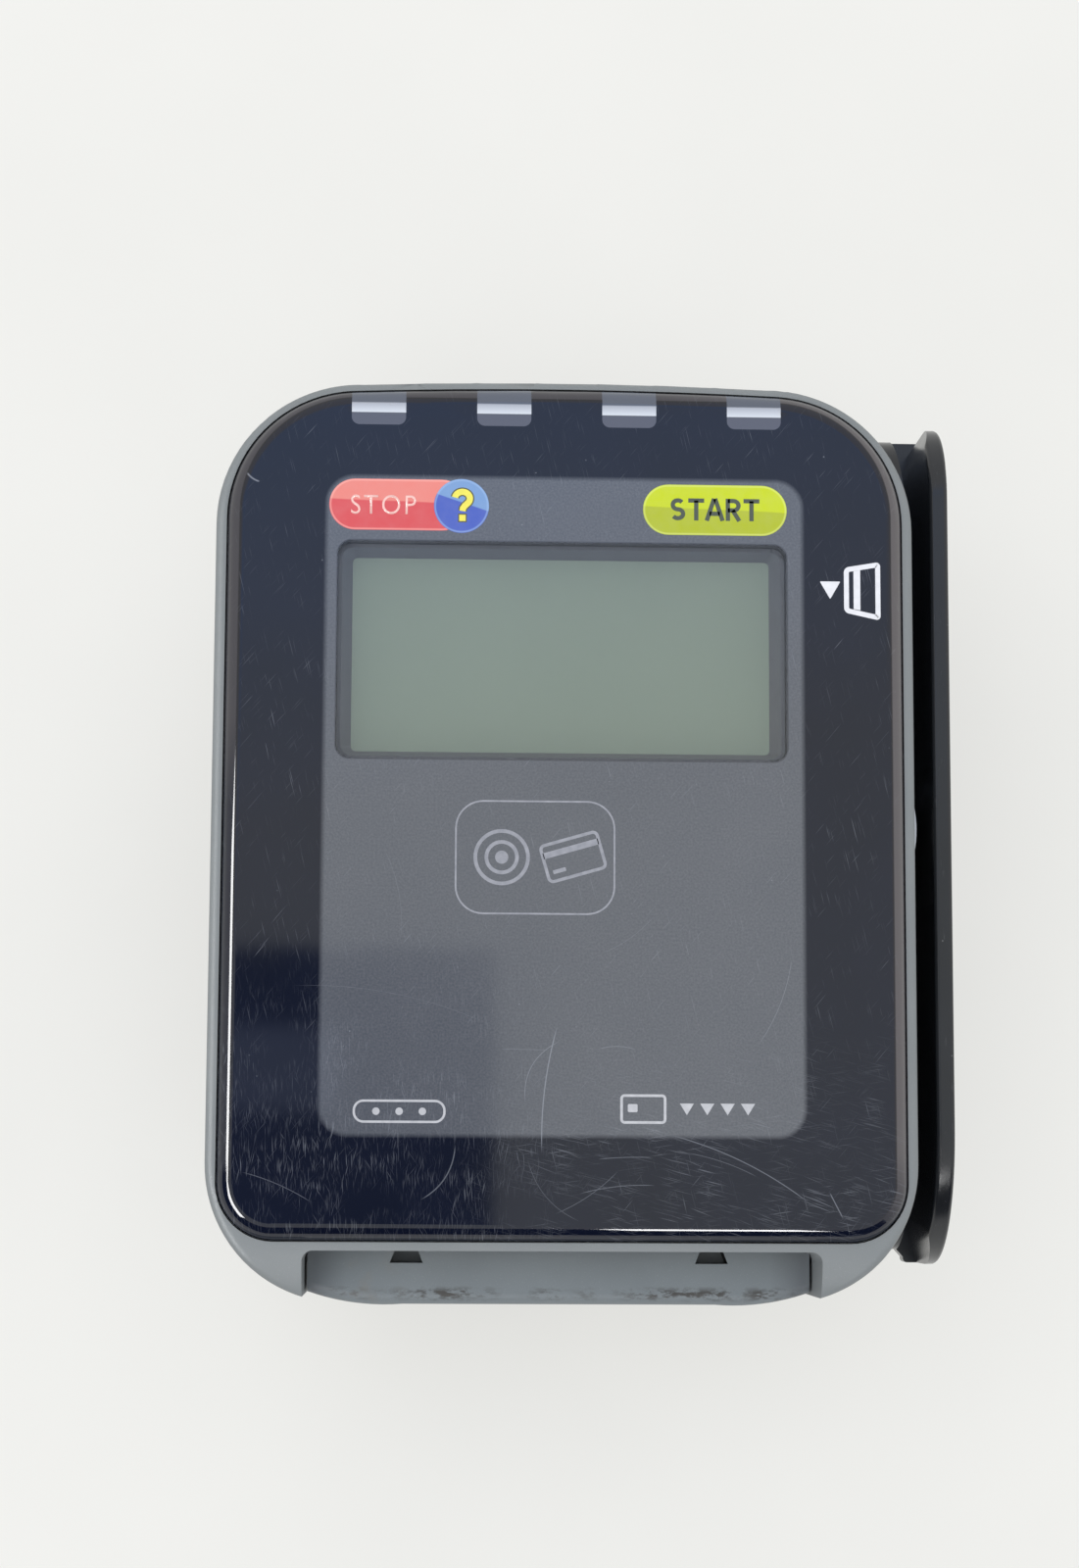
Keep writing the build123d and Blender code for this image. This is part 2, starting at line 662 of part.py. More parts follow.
def tamper_plunger(y):
    """Pin pushed in by the panel. It frees a switch if the terminal is taken off."""
    tip_z = panel_z - foam_t - plunger_out
    pin = disc(0, y, plunger_r, tip_z, panel_z + 6.2)
    pin = fillet(pin.faces().sort_by(Axis.Z)[0].edges(), 0.8)
    return pin + disc(0, y, 2.6, panel_z + 3.2, panel_z + 4.2)


def tamper_switches():
    """Switches hung under the main board, just above the raised plungers."""
    z0 = panel_z + 6.2 + plunger_out + 0.1
    return joined([slab(0, y, 8.0, 3.6, z0, main_z, 0.3) for y in plunger_ys])


# ------------------------------------------------------------------- rear case

def rear_case():
    """Tub behind the panel, with the connectors, the service door and the screws."""
    body = Pos(0, 0, 0) * slab(0, case_y, case_w, case_h, 0, panel_z, case_r)
    body = chamfer(body.faces().sort_by(Axis.Z)[0].edges(), 0.8)
    body -= slab(0, case_y, case_w - 2 * case_wall, case_h - 2 * case_wall, case_wall, panel_z + 1, 1.8)
    for x in boss_xs:
        for y in boss_ys:
            body += disc(x, y, 3.4, case_wall, panel_z)
            body -= disc(x, y, 1.35, -1, panel_z + 1)
            body -= disc(x, y, 2.7, -1, 2.6)
    # Connector openings in the lower wall.
    z0 = io_z + board_t
    for x, w, h in ((jack_x, jack_w, jack_h), (usb_x, usb_w, usb_h), (power_x, power_w, power_h)):
        body -= block(x - w / 2 - 0.25, x + w / 2 + 0.25, case_bottom - 1, case_bottom + 3, z0 - 0.25, z0 + h + 0.25)
    body -= along_y(button_x, button_z, button_r + 0.08, case_bottom - 1, case_bottom + 4)
    # Door opening, with sockets for the door's pins.
    half = door_w / 2
    body -= block(-half - 0.2, half + 0.2, case_top - 4, case_top + 1, door_z0 - 0.2, door_z1 + 0.2)
    body -= along_x(door_y, door_pivot_z, door_pin_r + 0.05, -half - 2.2, half + 2.2)
    # Vents and a shallow field for the rating plate.
    for i in range(7):
        body -= slab(-15.0 + 5 * i, case_top - 20.0, 1.8, 16.0, -1, case_wall + 1, 0.8)
    body -= slab(0, case_y - 12.0, 44.0, 26.0, -1, 0.4, 1.0)
    # Board posts.
    for x, y in io_mounts():
        body += disc(x, y, 2.4, case_wall, io_z)
        body -= disc(x, y, screw_r, case_wall - 0.6, io_z + 1)
    return body


def io_mounts():
    return [(-21.0, -12.0), (21.0, -12.0), (-21.0, 12.0), (21.0, 12.0)]


def rear_screws():
    return joined([Pos(x, y, 2.6) * screw(28.0) for x in boss_xs for y in boss_ys])


def rating_plate():
    return slab(0, case_y - 12.0, 43.4, 25.4, 0.1, 0.4, 0.8)


def io_board():
    body = slab(0, case_y, case_w - 2 * case_wall - 0.6, case_h - 2 * case_wall - 0.6, io_z, io_z + board_t, 1.6)
    for x in boss_xs:
        for y in boss_ys:
            body -= slab(x * 1.2, y + (2.5 if y > case_y else -2.5), 18.6, 12.6, io_z - 1, io_z + 3)
    for x, y in io_mounts():
        body -= disc(x, y, 1.5, io_z - 1, io_z + 3)
    return body


def io_screws():
    z = io_z + board_t
    return joined([Pos(x, y, z) * Rot(180, 0, 0) * screw(3.8, head_r=2.2, head_h=1.0) for x, y in io_mounts()])


def socket_body(x, w, h, length):
    """A connector's block, 0.4 mm behind the case's lower wall."""
    y0 = case_bottom + 0.4
    return block(x - w / 2, x + w / 2, y0, y0 + length, io_z + board_t, io_z + board_t + h)


def ethernet_jack():
    y0, z0 = case_bottom + 0.4, io_z + board_t
    body = socket_body(jack_x, jack_w, jack_h, jack_len)
    body -= block(jack_x - 5.9, jack_x + 5.9, y0 - 1, y0 + 13, z0 + 4.2, z0 + 11.0)
    body -= block(jack_x - 3.2, jack_x + 3.2, y0 - 1, y0 + 9, z0 + 2.4, z0 + 4.4)
    return body - block(jack_x - 1.7, jack_x + 1.7, y0 - 1, y0 + 9, z0 + 1.2, z0 + 2.6)


def ethernet_pins():
    """Eight sprung wires inside the jack."""
    y0, z0 = case_bottom + 0.4, io_z + board_t
    pins = []
    for i in range(8):
        x = jack_x + 1.02 * (i - 3.5)
        wire = make_face(Polyline((y0 + 13, z0 + 10.9), (y0 + 13, z0 + 10.5), (y0 + 5.0, z0 + 8.9),
                                  (y0 + 4.6, z0 + 9.3), close=True))
        pins.append(prism_x(wire, x - 0.2, x + 0.2))
    return joined(pins)


def usb_port():
    y0, z0 = case_bottom + 0.4, io_z + board_t
    body = socket_body(usb_x, usb_w, usb_h, usb_len)
    body -= block(usb_x - 3.5, usb_x + 3.5, y0 - 1, y0 + 6.5, z0 + 0.5, z0 + 3.6)
    return body + block(usb_x - 2.0, usb_x + 2.0, y0 + 0.8, y0 + 7, z0 + 1.7, z0 + 2.5)


def power_header():
    y0, z0 = case_bottom + 0.4, io_z + board_t
    body = socket_body(power_x, power_w, power_h, power_len)
    return body - block(power_x - 4.0, power_x + 4.0, y0 - 1, y0 + 8, z0 + 1.0, z0 + 7.0)


def power_pins():
    y0, z0 = case_bottom + 0.4, io_z + board_t
    return joined([block(power_x + dx - 0.3, power_x + dx + 0.3, y0 + 2.5, y0 + 8, z0 + dz - 0.3, z0 + dz + 0.3)
                   for dx in (-1.5, 1.5) for dz in (2.5, 5.5)])


def service_button():
    """Recessed push button with a flange behind the wall."""
    y0 = case_bottom + 0.6
    body = along_y(button_x, button_z, button_r, y0, case_bottom + 6.0)
    body = fillet(body.faces().sort_by(Axis.Y)[0].edges(), 0.4)
    return body + along_y(button_x, button_z, button_r + 1.2, case_bottom + case_wall, case_bottom + case_wall + 1.0)


def button_switch():
    """Switch on a post that stands on the connector board."""
    y0 = case_bottom + 6.9
    body = block(button_x - 3, button_x + 3, y0, y0 + 3.6, button_z - 3, button_z + 3)
    return body + block(button_x - 3, button_x + 3, y0 + 2.6, y0 + 3.6, io_z + board_t, button_z - 3)


def sam_door():
    """Small flap in the top wall, hung on two pins."""
    half = door_w / 2
    y0, y1 = case_top - door_t, case_top
    body = block(-half, half, y0, y1, door_z0, door_pivot_z)
    body += along_x(door_y, door_pivot_z, door_t / 2, -half, half)
    body += along_x(door_y, door_pivot_z, door_pin_r, -half - 1.8, half + 1.8)
    grip = slab(0, case_top, 12.0, 1.2, door_z0 + 1.6, door_z0 + 3.0)
    body -= grip
    return body + block(-5.0, 5.0, y0 - 1.2, y0, door_z0 + 1.0, door_z0 + 2.0)


def sam_sockets():
    """Two sockets for security modules, one above the other behind the door."""
    z0 = io_z + board_t
    body = slab(0, case_top - 16.0, 28.0, 18.0, z0, z0 + 5.2, 0.4)
    for level in (0.8, 3.4):
        body -= block(-12.6, 12.6, case_top - 22.0, case_top, z0 + level, z0 + level + 1.0)
    return body


def board_ribbon():
    """Flat cable between the two boards, through the chassis."""
    y0, z0, z1 = -2.0, io_z + board_t + 0.5, main_z - 0.5
    run = FilletPolyline((y0 - 9, z0), (y0, z0), (y0, z1), (y0 - 9, z1), radius=2.5)
    return prism_x(trace(run, 0.5), -1.0, 17.0)


def main():
    os.makedirs(out_folder, exist_ok=True)
    blank = window_blank()
    save("front_window", front_window(blank))
    save("light_pipes", light_pipes(blank))
    save("tamper_plunger_lower", tamper_plunger(plunger_ys[0]))
    save("tamper_plunger_upper", tamper_plunger(plunger_ys[1]))
    for make in (display_window, display_bezel, lcd_glass, lcd_backlight, lcd_frame, lcd_flex,
                 display_carrier, window_gasket, front_housing, card_guide, reader_base, reader_cover,
                 contact_carrier, contact_springs, card_switch_lever, swipe_rail, rail_screws,
                 mag_head, head_spring, head_flex, main_board, security_shield, board_screws,
                 backup_cell, cell_holder, buzzer, antenna_board, antenna_coil, status_leds,
                 chassis, panel_gasket, panel_studs, housing_screws, tamper_switches, rear_case,
                 rear_screws, rating_plate, io_board, io_screws, ethernet_jack, ethernet_pins,
                 usb_port, power_header, power_pins, service_button, button_switch, sam_door,
                 sam_sockets, board_ribbon):
        save(make.__name__, make())


main()
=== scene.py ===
import math
import bmesh
import bpy
from mathutils import Matrix, Vector
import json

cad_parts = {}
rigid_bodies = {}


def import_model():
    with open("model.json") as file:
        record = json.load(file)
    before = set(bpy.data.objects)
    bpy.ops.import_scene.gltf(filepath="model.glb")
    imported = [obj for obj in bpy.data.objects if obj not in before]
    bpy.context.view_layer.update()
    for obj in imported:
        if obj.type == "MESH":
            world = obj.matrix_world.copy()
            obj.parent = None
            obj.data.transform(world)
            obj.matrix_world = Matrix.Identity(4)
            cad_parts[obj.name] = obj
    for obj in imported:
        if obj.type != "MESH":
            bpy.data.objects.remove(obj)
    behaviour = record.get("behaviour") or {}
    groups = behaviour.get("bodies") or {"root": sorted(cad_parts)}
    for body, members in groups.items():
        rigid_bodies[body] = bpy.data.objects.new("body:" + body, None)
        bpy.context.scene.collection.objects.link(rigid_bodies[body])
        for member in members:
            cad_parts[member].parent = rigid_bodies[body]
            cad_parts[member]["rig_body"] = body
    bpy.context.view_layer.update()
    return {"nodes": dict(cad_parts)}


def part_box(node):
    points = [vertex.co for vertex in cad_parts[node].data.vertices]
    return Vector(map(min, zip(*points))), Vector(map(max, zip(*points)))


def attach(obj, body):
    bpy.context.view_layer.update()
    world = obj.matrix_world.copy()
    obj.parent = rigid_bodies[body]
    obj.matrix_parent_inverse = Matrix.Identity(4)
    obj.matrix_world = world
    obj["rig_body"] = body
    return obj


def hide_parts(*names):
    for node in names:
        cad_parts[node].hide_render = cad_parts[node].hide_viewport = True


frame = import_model()
nodes = frame["nodes"]
scene = bpy.context.scene
scene.view_settings.view_transform = "Standard"

# Places are given in millimetres from the middle of the window's face: x right, y up, z out.
windowLow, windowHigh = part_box("front_window")
faceMiddle = Vector(((windowLow.x + windowHigh.x) / 2, (windowLow.y + windowHigh.y) / 2, windowHigh.z))
mm = 0.001


def at(x, y, z=0.0):
    return faceMiddle + Vector((x, y, z)) * mm


# camera
viewpoint = {"from": (-15.61, -41.27, 342.41), "tilt": 7.3, "yaw": -2.1, "roll": 0.55, "lens": 69.75}
cameraData = bpy.data.cameras.new("camera")
cameraData.lens = viewpoint["lens"]
cameraData.sensor_width = 36.0
cameraData.clip_start = 0.01
camera = bpy.data.objects.new("camera", cameraData)
scene.collection.objects.link(camera)
camera.matrix_world = (Matrix.Translation(at(*viewpoint["from"]))
                       @ Matrix.Rotation(math.radians(viewpoint["tilt"]), 4, "X")
                       @ Matrix.Rotation(math.radians(viewpoint["yaw"]), 4, "Y")
                       @ Matrix.Rotation(math.radians(viewpoint["roll"]), 4, "Z"))
scene.camera = camera
print("camera placed")


# shader arithmetic
def paint(red, green, blue):
    # display values 0 to 255 as linear colour
    parts = [c / 255 for c in (red, green, blue)]
    return tuple(c / 12.92 if c < 0.0405 else ((c + 0.055) / 1.055) ** 2.4 for c in parts) + (1.0,)


class Wire:
    # an output socket that can be used in sums
    def __init__(self, recipe, socket):
        self.recipe, self.socket = recipe, socket

    def math(self, operation, *others):
        return self.recipe.add("ShaderNodeMath", {"operation": operation}, dict(enumerate((self, *others))))

    def __add__(self, other):
        return self.math("ADD", other)

    def __sub__(self, other):
        return self.math("SUBTRACT", other)

    def __mul__(self, other):
        return self.math("MULTIPLY", other)

    def __truediv__(self, other):
        return self.math("DIVIDE", other)

    def __rsub__(self, other):
        return self.recipe.add("ShaderNodeMath", {"operation": "SUBTRACT"}, {0: other, 1: self})

    __radd__ = __add__
    __rmul__ = __mul__

    def __abs__(self):
        return self.math("ABSOLUTE")

    def most(self, other):
        return self.math("MAXIMUM", other)

    def root(self):
        return self.math("SQRT")

    def held(self):
        return self.recipe.add("ShaderNodeClamp", {}, {"Value": self})


class Recipe:
    # a node tree with one way to add nodes to it
    def __init__(self, tree):
        self.tree = tree
        self.spots = None

    def feed(self, socket, value):
        if isinstance(value, Wire):
            self.tree.links.new(value.socket, socket)
        else:
            socket.default_value = value

    def add(self, kind, settings, sockets, out=0):
        made = self.tree.nodes.new(kind)
        for name, value in settings.items():
            setattr(made, name, value)
        for name, value in sockets.items():
            self.feed(made.inputs[name], value)
        return Wire(self, made.outputs[out])

    def place(self):
        # x, y, z in millimetres from the middle of the face
        if self.spots is None:
            where = self.add("ShaderNodeTexCoord", {}, {}, out="Object")
            split = self.add("ShaderNodeSeparateXYZ", {}, {0: where})
            outputs = split.socket.node.outputs
            self.spots = [(Wire(self, outputs[i]) - faceMiddle[i]) * 1000.0 for i in range(3)]
        return self.spots

    def vector(self, x, y, z):
        return self.add("ShaderNodeCombineXYZ", {}, {0: x, 1: y, 2: z})

    def noise(self, x, y, z, detail=2.0, rough=0.5):
        # scale is set by what x, y and z are multiplied with
        return self.add("ShaderNodeTexNoise", {}, {
            "Vector": self.vector(x, y, z), "Scale": 1.0, "Detail": detail, "Roughness": rough})

    def specks(self, x, y, z, size):
        # 1 in small dots, about one in every cell
        far = self.add("ShaderNodeTexVoronoi", {}, {"Vector": self.vector(x, y, z), "Scale": 1.0},
                       out="Distance")
        return (1.0 - far / size).held()

    def blend(self, first, second, share):
        return self.add("ShaderNodeMix", {"data_type": "RGBA"}, {0: share, 6: first, 7: second}, out=2)

    def bump(self, height, distance, strength=1.0):
        # height in 0 to 1, distance in metres
        return self.add("ShaderNodeBump", {}, {"Strength": strength, "Distance": distance, "Height": height})


class Finish(Recipe):
    # a material with one Principled shader
    def __init__(self, name, **fixed):
        self.material = bpy.data.materials.new(name)
        self.material.use_nodes = True
        super().__init__(self.material.node_tree)
        self.shader = self.tree.nodes["Principled BSDF"]
        self.set(**fixed)

    def set(self, **values):
        names = {"color": "Base Color", "roughness": "Roughness", "metallic": "Metallic", "normal": "Normal",
                 "alpha": "Alpha", "ior": "IOR", "coat": "Coat Weight", "coatRoughness": "Coat Roughness",
                 "emission": "Emission Color", "glow": "Emission Strength", "specular": "Specular IOR Level"}
        for name, value in values.items():
            self.feed(self.shader.inputs[names[name]], value)
        return self


def outside(x, y, width, height, corner):
    # millimetres outside a rounded rectangle
    dx = (abs(x) - (width / 2 - corner)).most(0.0)
    dy = (abs(y) - (height / 2 - corner)).most(0.0)
    return (dx * dx + dy * dy).root() - corner


def within(distance, soft=0.1):
    return (0.5 - distance / soft).held()


def scratch(x, y, start, end, bow, width=0.07):
    # a long thin arc from start to end that bows out by bow millimetres
    sx, sy = start
    ex, ey = end
    length = math.hypot(ex - sx, ey - sy)
    ux, uy = (ex - sx) / length, (ey - sy) / length
    along = ((x - sx) * ux + (y - sy) * uy) / length
    aside = (y - sy) * ux - (x - sx) * uy
    line = aside - along * (1.0 - along) * (4 * bow)
    return within(abs(line) - width / 2, width) * within(abs(along - 0.5) - 0.47, 0.12)


# light and table
room = {"low": (0.95, 0.98, 0.97, 1.0), "high": (0.76, 0.97, 1.42, 1.0), "patch": (0.10, 0.12, 0.18, 1.0),
        "patchLight": (0.50, 0.58, 0.80, 1.0), "around": (1.0, 0.995, 0.985, 1.0), "strength": 0.96}
world = bpy.data.worlds.new("room")
world.use_nodes = True
scene.world = world
sky = Recipe(world.node_tree)
ray = sky.add("ShaderNodeTexCoord", {}, {}, out="Generated")
rayParts = sky.add("ShaderNodeSeparateXYZ", {}, {0: ray}).socket.node.outputs
rayX, rayY, rayZ = [Wire(sky, rayParts[i]) for i in range(3)]
# seen from the viewpoint, what is above shows in the flat face at seenX, seenY (millimetres)
reach = viewpoint["from"]
seenX = rayX / rayZ.most(0.05) * reach[2] + reach[0]
seenY = rayY / rayZ.most(0.05) * reach[2] + reach[1]
ripple = sky.noise(seenX / 5, seenY / 5, 0.0, detail=3.0) - 0.5
above = within(0.91 - rayZ, 0.06)
high = ((seenY - 5.0 - seenX * 0.2) / 45.0).held()
skyColour = sky.blend(room["low"], room["high"], high)
patchGap = outside(seenX + 47.9 + ripple, seenY + 61.2 + ripple * 2.0, 80.0, 90.0, 1.0)
bandGap = outside(seenX + 50.0, seenY + 29.8, 49.0, 9.4, 1.0)
patchColour = sky.blend(room["patch"], room["patchLight"], within(bandGap, 1.6))
skyColour = sky.blend(skyColour, patchColour, within(patchGap, 0.9))
skyColour = sky.blend(room["around"], skyColour, above)
background = world.node_tree.nodes["Background"]
sky.feed(background.inputs["Color"], skyColour)
background.inputs["Strength"].default_value = room["strength"]

strips = [
    {"name": "leftStrip", "from": (-430, -150, 400), "size": (480, 150), "power": 5.2},
    {"name": "lowerStrip", "from": (71, -430, 420), "size": (60, 90), "power": 0.5},
]
for strip in strips:
    lamp = bpy.data.lights.new(strip["name"], "AREA")
    lamp.shape = "RECTANGLE"
    lamp.size, lamp.size_y = strip["size"][0] * mm, strip["size"][1] * mm
    lamp.energy = strip["power"]
    stripObject = bpy.data.objects.new(strip["name"], lamp)
    scene.collection.objects.link(stripObject)
    stripObject.location = at(*strip["from"])
    stripObject.rotation_euler = (at(0, 0) - stripObject.location).to_track_quat("-Z", "Y").to_euler()
    stripObject.visible_diffuse = False

overhead = {"from": (-180, 160, 1000), "size": 1300, "power": 5.0}
mainLamp = bpy.data.lights.new("mainLamp", "AREA")
mainLamp.shape = "DISK"
mainLamp.size = overhead["size"] * mm
mainLamp.energy = overhead["power"]
mainLampObject = bpy.data.objects.new("mainLamp", mainLamp)
scene.collection.objects.link(mainLampObject)
mainLampObject.location = at(*overhead["from"])
mainLampObject.rotation_euler = (at(0, 0) - mainLampObject.location).to_track_quat("-Z", "Y").to_euler()
mainLampObject.visible_glossy = False

table = {"size": 1600, "glow": 2.1}
tableShape = bmesh.new()
bmesh.ops.create_grid(tableShape, x_segments=8, y_segments=8, size=table["size"] * mm / 2)
tableMesh = bpy.data.meshes.new("table")
tableShape.to_mesh(tableMesh)
tableObject = bpy.data.objects.new("table", tableMesh)
scene.collection.objects.link(tableObject)
tableFinish = Finish("tableTop", roughness=0.75, glow=table["glow"], specular=0.2)
tableX, tableY, tableZ = tableFinish.place()
mottle = tableFinish.noise(tableX / 60, tableY / 60, tableZ * 0.0, detail=4.0)
tableColour = tableFinish.blend(paint(138, 138, 136), paint(143, 143, 141), mottle)
tableFinish.set(color=tableColour, emission=tableColour)
tableMesh.materials.append(tableFinish.material)

# a dark card round the lower left that only reflections see
card = {"x": -470, "y": -470, "right": 520, "up": -40, "z": (60, 520)}
cardShape = bmesh.new()
corners = [(card["x"], card["up"]), (card["x"], card["y"]), (card["right"], card["y"])]
columns = [[cardShape.verts.new(at(x, y, z)) for z in card["z"]] for x, y in corners]
for first, second in zip(columns, columns[1:]):
    cardShape.faces.new((first[0], second[0], second[1], first[1]))
cardMesh = bpy.data.meshes.new("darkCard")
cardShape.to_mesh(cardMesh)
cardShape.free()
darkCard = bpy.data.objects.new("darkCard", cardMesh)
scene.collection.objects.link(darkCard)
darkCard.visible_camera = False
darkCard.visible_diffuse = False
darkCard.visible_shadow = False
darkCard.visible_transmission = False
cardFinish = Finish("darkCloth", color=(0.006, 0.006, 0.008, 1.0), roughness=1.0, specular=0.0)
cardMesh.materials.append(cardFinish.material)
print("light and table placed")


# making pieces
def settle(name, shape, finish, body="terminal"):
    # the bmesh becomes a piece that rides on a body
    mesh = bpy.data.meshes.new(name)
    shape.to_mesh(mesh)
    shape.free()
    piece = bpy.data.objects.new(name, mesh)
    scene.collection.objects.link(piece)
    mesh.materials.append(finish.material)
    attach(piece, body)
    return piece


def polished(nodeName, finish, angle=35.0, sink=0.0):
    # a smooth-shaded copy that stands for a CAD node
    source = nodes[nodeName]
    shape = bmesh.new()
    shape.from_mesh(source.data)
    bmesh.ops.remove_doubles(shape, verts=shape.verts, dist=2e-6)
    top = max(v.co.z for v in shape.verts)
    for vert in shape.verts:
        if vert.co.z > top - 1e-6:
            vert.co.z -= sink * mm
    for face in shape.faces:
        face.smooth = True
    for edge in shape.edges:
        edge.smooth = len(edge.link_faces) == 2 and edge.calc_face_angle(0.0) < math.radians(angle)
    piece = settle(nodeName + "Piece", shape, finish, source["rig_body"])
    weighted = piece.modifiers.new("evenShading", "WEIGHTED_NORMAL")
    weighted.keep_sharp = True
    weighted.weight = 100
    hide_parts(nodeName)
    return piece


# front window
glass = {"panel": (54.7, 75.3, 3.2), "panelMiddle": (-0.15, 0.45), "display": (51.6, 25.2, 1.6),
         "displayMiddle": (-0.4, 18.0), "sink": 0.03}
windowFinish = Finish("windowPrint", ior=1.5, coatRoughness=0.12)
winX, winY = windowFinish.place()[:2]
panelGap = outside(winX - glass["panelMiddle"][0], winY - glass["panelMiddle"][1], *glass["panel"])
panelMask = within(panelGap, 0.6)
displayGap = outside(winX - glass["displayMiddle"][0], winY - glass["displayMiddle"][1], *glass["display"])
displayLine = within(displayGap - 0.12, 0.12)
cloud = windowFinish.noise(winX / 14, winY / 14, 0.0, detail=3.0)
grain = windowFinish.noise(winX * 4.0, winY * 4.0, 2.0, detail=2.0)
black = windowFinish.blend((0.0026, 0.0040, 0.0105, 1.0), (0.0048, 0.0070, 0.0190, 1.0), cloud)
smoke = windowFinish.blend((0.060, 0.068, 0.086, 1.0), (0.092, 0.098, 0.116, 1.0),
                           (cloud * 0.6 + 0.2 + (grain - 0.5) * 2.2).held())
ground = windowFinish.blend(black, smoke, panelMask)
ground = windowFinish.blend(ground, (0.020, 0.023, 0.032, 1.0), displayLine * 0.85)
# light caught in the clear rim: strongest on the right, none at the lower left
topHalf = within(5.0 - winY, 10.0)
rimGap = outside(winX, winY, 77.8, 97.8, 6.5 + topHalf * 8.5)
rimMask = within(-1.45 - rimGap, 0.25)
rimRight = within(25.0 - winX, 30.0) * within(-43.0 - winY, 8.0) * 0.9
rimSide = rimRight + topHalf * within(winX - 25.0, 30.0) * 0.35
ground = windowFinish.blend(ground, (0.105, 0.096, 0.100, 1.0), rimMask * rimSide.held())
# painted dark reflection: a thin near-black line along the inner edge of the bottom rim only
paintedRimDarkLine = within(abs(rimGap + 1.5) - 0.07, 0.12) * within(-45.0 - winY, 4.0)
ground = windowFinish.blend(ground, (0.002, 0.002, 0.003, 1.0), paintedRimDarkLine * 0.8)


def hairlines(turn, density, seed, thin, long):
    cosine, sine = math.cos(math.radians(turn)), math.sin(math.radians(turn))
    across = winX * cosine + winY * sine
    along = winY * cosine - winX * sine
    streak = windowFinish.noise(across * thin, along * long, seed, detail=1.0)
    return ((streak - density) * 8.0).held()


# fine wear: upright hairlines at the lower left, slanting ones at the lower right
lowLeft = within(winY + 27.0, 26.0) * within(winX + 4.0, 12.0)
lowRight = within(winY + 31.0, 16.0) * within(-6.0 - winX, 14.0)
patchy = windowFinish.noise(winX / 6, winY / 6, 5.0, detail=3.0)
upright = hairlines(3, 0.60, 3.1, 8.0, 0.45).most(hairlines(-12, 0.64, 17.3, 7.0, 0.4))
upright = upright.most(hairlines(30, 0.68, 8.8, 8.0, 0.4))
slanting = hairlines(76, 0.62, 41.0, 8.0, 0.25).most(hairlines(68, 0.65, 52.0, 7.0, 0.2))
slanting = slanting.most(hairlines(98, 0.65, 60.0, 8.0, 0.25))
sparse = hairlines(14, 0.67, 71.0, 8.0, 0.25).most(hairlines(-40, 0.68, 80.0, 8.0, 0.25)) * 0.8
hairs = (upright * lowLeft).most(slanting * lowRight).most(sparse) * ((patchy - 0.36) * 3.5).held()
marks = [((-0.9, -25.2), (-2.5, -38.7), -0.5, 0.09, 0.9), ((-0.6, -26.6), (-4.4, -33.3), -1.3, 0.06, 0.7),
         ((-12.2, -38.4), (-15.8, -44.2), 0.9, 0.10, 0.6), ((12.4, -37.1), (27.3, -44.3), 0.8, 0.08, 0.7),
         ((-0.7, -45.7), (5.9, -41.2), -0.4, 0.05, 0.5), ((4.0, -39.7), (9.8, -39.5), 0.1, 0.06, 0.6),
         ((29.9, -43.4), (31.3, -46.1), 0.0, 0.08, 0.8), ((-35.7, -41.4), (-28.4, -44.5), 0.3, 0.06, 0.5),
         ((-7.1, -27.5), (-1.9, -27.6), 0.05, 0.05, 0.4), ((3.9, -27.4), (7.9, -27.4), 0.3, 0.06, 0.5),
         ((25.7, -17.3), (22.0, -26.7), 0.6, 0.05, 0.5), ((14.0, -39.0), (21.5, -41.5), 0.3, 0.05, 0.5),
         ((2.0, -43.5), (10.0, -42.6), 0.3, 0.06, 0.6), ((-36.7, 38.3), (-35.3, 37.3), -0.15, 0.14, 1.0),
         ((10.0, -12.5), (4.5, -16.5), 0.4, 0.04, 0.3), ((-30.0, -20.5), (-9.0, -24.5), 1.2, 0.04, 0.25),
         ((-20.5, -5.0), (-18.5, -15.0), 0.7, 0.04, 0.25), ((1.5, -46.5), (-4.0, -40.0), 1.0, 0.05, 0.4)]
lines = None
for start, end, bow, width, depth in marks:
    line = scratch(winX, winY, start, end, bow, width) * depth
    lines = line if lines is None else lines.most(line)
dust = windowFinish.specks(winX / 2.6, winY / 2.6, 0.0, 0.045) * ((patchy - 0.45) * 6.0).held()
worn = (hairs * 0.25).most(lines * 0.50).most(dust * 0.45)
ground = windowFinish.blend(ground, (0.40, 0.43, 0.50, 1.0), worn)
smear = windowFinish.noise(winX / 5, winY / 11, 9.0, detail=4.0)
windowFinish.set(color=ground, roughness=0.025 + smear * 0.03 + worn * 0.3, coat=panelMask)
polished("front_window", windowFinish, sink=glass["sink"])

# the clear pane over the display
paneFinish = Finish("displayPane", color=(0.010, 0.012, 0.016, 1.0), ior=3.8, alpha=0.13)
paneX, paneY = paneFinish.place()[:2]
paneFinish.set(roughness=0.05 + paneFinish.noise(paneX / 5, paneY / 11, 9.0, detail=4.0) * 0.04)
polished("display_window", paneFinish, sink=glass["sink"])

bezelFinish = Finish("displaySurround", roughness=0.5)
bezelX, bezelY, bezelZ = bezelFinish.place()
bezelColour = bezelFinish.blend((0.075, 0.083, 0.103, 1.0), (0.10, 0.11, 0.132, 1.0),
                                bezelFinish.noise(bezelX / 3, bezelY / 3, bezelZ))
bezelFinish.set(color=bezelColour)
polished("display_bezel", bezelFinish)

